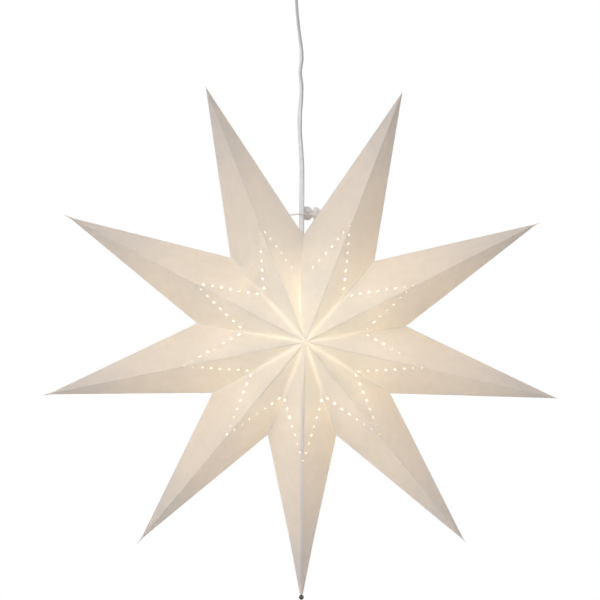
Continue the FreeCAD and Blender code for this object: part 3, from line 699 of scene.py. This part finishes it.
def bulged(facet, point):
    """A soft swell between a facet's folds; its edges stay where the next facet meets them."""
    first, second, third = weights(facet, point)
    along = sin(point.x * RIPPLE_ALONG + facet.seed)
    across = sin(point.y * RIPPLE_ACROSS + facet.seed * 1.7)
    edge = min(1.0, min(first, second, third) / RIPPLE_EDGE)
    swell = BULGE * first * second * third / MIDDLE_PRODUCT
    return facet.solid(point) + facet.normal * (swell + RIPPLE * along * across * edge)


def blunted(index, place):
    """The bottom tip is cut short for the bead's thread, and its folds stay a little open there."""
    peak = tip(index)
    outward = peak.normalized()
    from_tip = peak.length - place.dot(outward)
    if from_tip >= BLUNT_LENGTH:
        return place
    spread = from_tip / BLUNT_LENGTH
    middle = outward * (peak.length - TIP_CUT - spread * (BLUNT_LENGTH - TIP_CUT))
    half_width = half_width_at(index, from_tip)
    if half_width < 1e-7:
        return middle
    sideways = place - outward * place.dot(outward)
    wanted = BLUNT_HALF + spread * (half_width_at(index, BLUNT_LENGTH) - BLUNT_HALF)
    return middle + sideways * wanted / half_width


def half_width_at(index, from_tip):
    """Half a point's breadth at a distance from its tip."""
    peak = tip(index)
    run = peak.length - valley(index).dot(peak.normalized())
    return (valley(index) - valley(index - 1)).length / 2 * from_tip / run


def tailed(index, place):
    """Near its tip a point is pressed into a thin flat tail."""
    if index == BOTTOM_POINT:
        return blunted(index, place)
    tail = TIP_TAIL[index - 1] * MM
    peak = tip(index)
    outward = peak.normalized()
    start = outward * (peak.length - TAPER_LENGTH)
    from_tip = peak.length - place.dot(outward)
    if from_tip >= TAPER_LENGTH or from_tip < 1e-6:
        return place
    half_width = half_width_at(index, from_tip)
    narrow = TAPER_LENGTH / (TAPER_LENGTH - tail) * (from_tip - tail) / from_tip
    narrow = max(narrow, min(1.0, TAIL_HALF / half_width))
    middle = start + outward * (TAPER_LENGTH - from_tip)
    return middle + (place - middle) * min(narrow, 1.0)


def seam_side(index, number):
    """Whether a facet is one of the two that meet at the unglued top seam, in front."""
    return (index, number) in ((1, 1), (2, 0))


def bowed(index, number, weight, place):
    """The top seam is only drawn together by its string, so its middle bows to the left."""
    second = weight[1]
    if not seam_side(index, number) or second > SEAM_REACH:
        return place
    bow = sin(pi * seam_run(weight) ** SEAM_BOW_SKEW) * (1 - second / SEAM_REACH)
    return place - Vector((SEAM_BOW * bow, 0, 0))


def clamped(value):
    return max(0.0, min(1.0, value))


def seam_run(weight):
    """How far along the valley a place lies, from the centre to the valley corner."""
    first, _, third = weight
    return third / max(first + third, 1e-6)


def seam_light(index, number, weight):
    """Light painted on the top seam's left sheet: a streak where it stands open and a wash beside it."""
    if (index, number) != (1, 1):
        return 0.0
    run = seam_run(weight)
    along = clamped((SEAM_GLOW_END - run) / SEAM_GLOW_FADE) * clamped(run / SEAM_GLOW_RISE)
    wash = SEAM_WASH * clamped(1 - weight[1] / SEAM_WASH_REACH)
    return max(along * clamped(1 - weight[1] / SEAM_GLOW_REACH), wash)


def closed_seam(index, number, weight):
    """Added to a place's distance from the top seam's fold, so that no bright line is drawn there.

    The right sheet has none at all, and the left one has none where the seam is shut.
    """
    if not seam_side(index, number):
        return 0.0
    if index == 2:
        return VALLEY_LINE
    return VALLEY_LINE * clamped((seam_run(weight) - SEAM_SHUT_START) / SEAM_SHUT_FADE)


def strip_depth(facet, index, number, point):
    """How far inside the bottom point's glued strip, which carries painted shade, a place lies; far outside
    on every other face.
    """
    if (index, number) != (BOTTOM_POINT, 1):
        return -1.0
    share = (point.x - GLUE_STRIP_START) / (TIP_RADIUS - GLUE_STRIP_START)
    return STRIP_SHADE_WIDE + share * (STRIP_SHADE_NARROW - STRIP_SHADE_WIDE) - point.y


def paper_sleeve(index):
    peak = tip(index)
    before, after = valley(index - 1), valley(index)
    outward = peak.normalized()
    ridge_hole, rows = pricked_rows(index)
    points, faces = [], []
    marks = {"from_valley": [], "from_middle": [], "seam_light": [], "strip_depth": []}
    for number, (centre, corner, row) in enumerate(
        [(FRONT, before, rows[0]), (FRONT, after, rows[1]), (BACK, before, rows[0]), (BACK, after, rows[1])]
    ):
        facet = Facet(centre, peak, corner, index * SEED_BY_POINT + number * SEED_BY_FACET)
        made, triangles = facet_mesh(facet, ridge_hole, row, outward)
        reach = (corner - centre).normalized().cross(peak - centre).length
        first = len(points)
        for point in made:
            weight = weights(facet, point)
            place = bowed(index, number, weight, tailed(index, bulged(facet, point)))
            points.append(place)
            marks["from_valley"].append(weight[1] * reach + closed_seam(index, number, weight))
            marks["from_middle"].append(hypot(place.x, place.z))
            marks["seam_light"].append(seam_light(index, number, weight))
            marks["strip_depth"].append(strip_depth(facet, index, number, point))
        for triangle in triangles:
            a, b, c = (points[first + n] for n in triangle)
            turn = (b - a).cross(c - a).dot(facet.normal)
            ordered = triangle if turn > 0 else triangle[::-1]
            faces.append(tuple(first + n for n in ordered))
    placed = [in_row(p) for p in points]
    piece = new_piece(
        "sleeve_%d" % index, placed, faces, PAPER_MATERIAL, "star", ["paper_point_%d" % index]
    )
    for name, values in marks.items():
        piece.data.attributes.new(name, "FLOAT", "POINT").data.foreach_set("value", values)
    piece.data.materials.append(INSIDE_MATERIAL)
    merge(piece)
    card = piece.modifiers.new("card", "SOLIDIFY")
    card.thickness = PAPER
    card.offset = -1
    card.material_offset = 1


def merge(piece):
    """Weld the facets along their shared folds."""
    work = bmesh.new()
    work.from_mesh(piece.data)
    bmesh.ops.remove_doubles(work, verts=work.verts, dist=0.02 * MM)
    work.to_mesh(piece.data)
    work.free()


def inner_sheets(index):
    """The glue lips folded in along one point's valleys, and the bottom point's doubled ridge."""
    points, faces = [], []
    peak = tip(index)
    half = STAR_DEPTH / 2
    for corner, is_seam in ((valley(index - 1), index == 2), (valley(index), index == 1)):
        if is_seam:
            continue
        normal = (BACK - FRONT).cross(corner).normalized()
        if normal.dot(peak - corner) < 0:
            normal = -normal
        slope = hypot(half, corner.length)
        reach = LIP_WIDTH * slope / half
        depth = LIP_WIDTH * slope / corner.length
        for end in (FRONT, BACK):
            first = len(points)
            start = end.lerp(corner, LIP_START)
            inner = start - end.normalized() * depth
            notch = corner.normalized() * (corner.length - reach)
            outer = corner * LIP_END
            points += [in_row(p + normal * LIP_GAP) for p in (start, outer, notch, inner)]
            faces.append(tuple(range(first, first + 4)))
    if index == BOTTOM_POINT:
        along = (peak - FRONT).normalized()
        inward = along.cross(valley(index) - FRONT).normalized()
        if inward.y < 0:
            inward = -inward
        across = inward.cross(along)
        if across.dot(valley(index) - FRONT) < 0:
            across = -across
        near = FRONT + along * GLUE_STRIP_START + inward * LIP_GAP
        far = FRONT + along * GLUE_STRIP_END + inward * LIP_GAP
        first = len(points)
        strip = [near, far, far + across * GLUE_STRIP_NARROW, near + across * GLUE_STRIP_WIDE]
        points += [in_row(p) for p in strip]
        faces.append(tuple(range(first, first + 4)))
    piece = new_piece("lips_%d" % index, points, faces, LIP_MATERIAL, "star")
    card = piece.modifiers.new("card", "SOLIDIFY")
    card.thickness = PAPER
    card.offset = 0


for number in range(1, POINT_COUNT + 1):
    paper_sleeve(number)
    inner_sheets(number)


# ---------------------------------------------------------------- string, thread and spring
STRING_RADIUS = 0.9 * MM
STRING_FROM_VALLEY = 28.0 * MM
STRING_KNOT_RADIUS = 2.2 * MM
STRING_SIDES = 12
STRAND_DEPTH = 0.07  # share of a string's radius
KNOT_STEPS = 54
KNOT_REACH = 3.0  # of the trefoil curve below, before it is scaled
THREAD_STEPS = 60
THREAD_RADIUS = 0.25 * MM
INNER_KNOT_RADIUS = 1.1 * MM
INNER_KNOT_RISE = 13.0 * MM
END_KNOT_RADIUS = 1.5 * MM
END_KNOT_DROP = 5.9 * MM
LOCK_X = 3.4 * MM
LOCK_Y = 13.7 * MM
LOCK_HEIGHT = 142.0 * MM
LOCK_WELL_DEPTH = 5.6 * MM
SPRING_LENGTH = 4.0 * MM
SPRING_RADIUS = 3.2 * MM
SPRING_WIRE_RADIUS = 0.2 * MM
SPRING_TURNS = 4
SPRING_STEPS = 36
# The string's loop through the lock, from the left point to the right one, in mm from the star's middle.
STRING_LOOP = [
    (-3.5, -1.0, 140.6),
    (2.8, -0.2, 141.6),
    (4.0, 8.7, 142.0),
    (4.0, 31.5, 142.15),
    (4.0, 34.0, 142.1),
    (0.5, 41.2, 140.0),
    (1.5, 47.7, 137.0),
    (8.2, 48.7, 136.5),
    (9.8, 41.2, 139.6),
    (6.0, 34.0, 142.1),
    (6.0, 31.5, 142.15),
    (6.0, 8.7, 142.0),
    (6.8, 1.3, 141.2),
]


def string_hole(index):
    """Where the string goes through the crease between the top valley and a tip beside it."""
    return valley(1) + (tip(index) - valley(1)).normalized() * STRING_FROM_VALLEY


def braid(path, radius, lobes, turn):
    """A round cord of twisted strands along a path; turn is its twist from one step to the next."""

    def section(step):
        ring = []
        for side in range(STRING_SIDES):
            angle = 2 * pi * side / STRING_SIDES
            size = radius * (1 - STRAND_DEPTH + STRAND_DEPTH * cos(lobes * (angle - turn * step)))
            ring.append((size * cos(angle), size * sin(angle)))
        return ring

    return tube(path, section, STRING_SIDES)


def knot(middle, reach, radius):
    """An overhand knot pulled tight, small enough to fit in a ball of the given reach."""
    loop = []
    for n in range(KNOT_STEPS + 1):
        t = 2 * pi * n / KNOT_STEPS
        spot = Vector((sin(t) + 2 * sin(2 * t), cos(t) - 2 * cos(2 * t), -sin(3 * t)))
        loop.append(middle + spot * (reach - radius) / KNOT_REACH)
    return braid(loop, radius, 2, 0.5)


def together(*meshes):
    points, faces = [], []
    for more_points, more_faces in meshes:
        first = len(points)
        points += more_points
        faces += [tuple(first + n for n in face) for face in more_faces]
    return points, faces


def make_drawstring():
    left, right = string_hole(1), string_hole(2)
    route = [
        left + Vector((-4.8, 0, -1.0)) * MM,
        left + Vector((1.5, -0.4, 0.2)) * MM,
        *[Vector(spot) * MM for spot in STRING_LOOP],
        right + Vector((-1.5, -0.3, 0.2)) * MM,
        right + Vector((4.8, 0, -1.0)) * MM,
    ]
    hung = [in_row(place) for place in route]
    points, faces = together(
        braid(spline_points("string_route", hung), STRING_RADIUS, 3, 0.35),
        knot(hung[0], STRING_KNOT_RADIUS, STRING_RADIUS),
        knot(hung[-1], STRING_KNOT_RADIUS, STRING_RADIUS),
    )
    smooth(new_piece("drawing_string", points, faces, MATERIALS["string"], "star", ["drawstring"]))


def make_bead_thread():
    top = tip(BOTTOM_POINT) + Vector((0, 0, INNER_KNOT_RISE))
    bottom = tip(BOTTOM_POINT) - Vector((0, 0, END_KNOT_DROP))
    path = [in_row(place) for place in edge_steps(top, bottom, THREAD_STEPS)]
    points, faces = together(
        braid(path, THREAD_RADIUS, 2, 0.5),
        knot(path[0], INNER_KNOT_RADIUS, THREAD_RADIUS * 1.4),
        knot(path[-1], END_KNOT_RADIUS, THREAD_RADIUS * 1.8),
    )
    smooth(new_piece("hanging_thread", points, faces, MATERIALS["thread"], "star", ["bead_thread"]))


def make_spring():
    """The lock's spring: a few turns of wire, drawn at rest; the real one shortens as its button is pressed.
    """
    floor = Vector((LOCK_X - LOCK_WELL_DEPTH, LOCK_Y, LOCK_HEIGHT))
    steps = SPRING_TURNS * SPRING_STEPS
    path = []
    for n in range(steps + 1):
        angle = 2 * pi * n / SPRING_STEPS
        along = SPRING_WIRE_RADIUS + (SPRING_LENGTH - 2 * SPRING_WIRE_RADIUS) * n / steps
        path.append(in_row(floor + Vector((along, SPRING_RADIUS * sin(angle), -SPRING_RADIUS * cos(angle)))))
    points, faces = braid(path, SPRING_WIRE_RADIUS, 1, 0.0)
    piece = new_piece(
        "coil_spring", points, faces, MATERIALS["spring_steel"], "lock", ["lock_spring"]
    )
    smooth(piece)
    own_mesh(piece)


make_drawstring()
make_bead_thread()
make_spring()


# ---------------------------------------------------------------- light, floor and background
def area_light(name, place, target, size, power, colour):
    data = bpy.data.lights.new(name, "AREA")
    data.shape = "DISK"
    data.size = size
    data.energy = power
    data.color = colour
    light = bpy.data.objects.new(name, data)
    bpy.context.scene.collection.objects.link(light)
    light.location = place
    light.rotation_euler = (Vector(target) - Vector(place)).to_track_quat("-Z", "Y").to_euler()


def make_world():
    world = bpy.data.worlds.new("studio")
    bpy.context.scene.world = world
    world.use_nodes = True
    tree = world.node_tree
    tree.nodes.clear()
    soft = tree.nodes.new("ShaderNodeBackground")
    soft.inputs["Color"].default_value = (0.98, 0.98, 1.0, 1)
    way = tree.nodes.new("ShaderNodeTexCoord")
    parts = tree.nodes.new("ShaderNodeSeparateXYZ")
    height = tree.nodes.new("ShaderNodeMapRange")
    height.inputs["From Min"].default_value = -1.0
    height.inputs["To Min"].default_value = WORLD_LIGHT_BELOW
    height.inputs["To Max"].default_value = WORLD_LIGHT_ABOVE
    tree.links.new(way.outputs["Generated"], parts.inputs[0])
    tree.links.new(parts.outputs["Z"], height.inputs["Value"])
    tree.links.new(height.outputs[0], soft.inputs["Strength"])
    white = tree.nodes.new("ShaderNodeBackground")
    white.inputs["Color"].default_value = (1, 1, 1, 1)
    white.inputs["Strength"].default_value = 1.0
    rays = tree.nodes.new("ShaderNodeLightPath")
    first = tree.nodes.new("ShaderNodeMath")
    first.operation = "MAXIMUM"
    seen = tree.nodes.new("ShaderNodeMath")
    seen.operation = "MAXIMUM"
    mix = tree.nodes.new("ShaderNodeMixShader")
    output = tree.nodes.new("ShaderNodeOutputWorld")
    tree.links.new(rays.outputs["Is Camera Ray"], first.inputs[0])
    tree.links.new(rays.outputs["Is Glossy Ray"], first.inputs[1])
    tree.links.new(first.outputs[0], seen.inputs[0])
    tree.links.new(rays.outputs["Is Transmission Ray"], seen.inputs[1])
    tree.links.new(seen.outputs[0], mix.inputs[0])
    tree.links.new(soft.outputs[0], mix.inputs[1])
    tree.links.new(white.outputs[0], mix.inputs[2])
    tree.links.new(mix.outputs[0], output.inputs["Surface"])


def make_floor():
    """A pale round floor well below the star, which keeps its soft shadow."""
    angles = [2 * pi * n / FLOOR_SIDES for n in range(FLOOR_SIDES)]
    points = [(FLOOR_RADIUS * cos(angle), FLOOR_RADIUS * sin(angle), FLOOR_HEIGHT) for angle in angles]
    mesh = bpy.data.meshes.new("floor")
    mesh.from_pydata(points, [], [tuple(range(FLOOR_SIDES))])
    s = Shader("floor")
    shade = s.ramp(s.noise(3.0), [(0.3, (0.90, 0.90, 0.90)), (0.7, (0.93, 0.93, 0.93))])
    surface = s.add("BsdfDiffuse", {"Color": shade})
    mesh.materials.append(s.finish(surface.outputs[0]))
    floor = bpy.data.objects.new("floor", mesh)
    bpy.context.scene.collection.objects.link(floor)


WORLD_LIGHT_BELOW = 0.38
WORLD_LIGHT_ABOVE = 0.72
FLOOR_SIDES = 96
FLOOR_RADIUS = 0.95
FLOOR_HEIGHT = -1.06
KEY_PLACE = (-1.5, -2.2, 0.9)
KEY_POWER = 22.0
KEY_SIZE = 1.1
BACK_PLACE = (1.4, 2.2, 0.6)
BACK_POWER = 14.0
BACK_SIZE = 1.2
LIGHT_TARGET = (0, 0, -0.43)

make_world()
make_floor()
area_light("key", KEY_PLACE, LIGHT_TARGET, KEY_SIZE, KEY_POWER, (0.98, 0.985, 1.0))
area_light("back", BACK_PLACE, LIGHT_TARGET, BACK_SIZE, BACK_POWER, (1.0, 1.0, 1.0))

view = bpy.context.scene.view_settings
view.view_transform = "Standard"

bpy.context.view_layer.update()
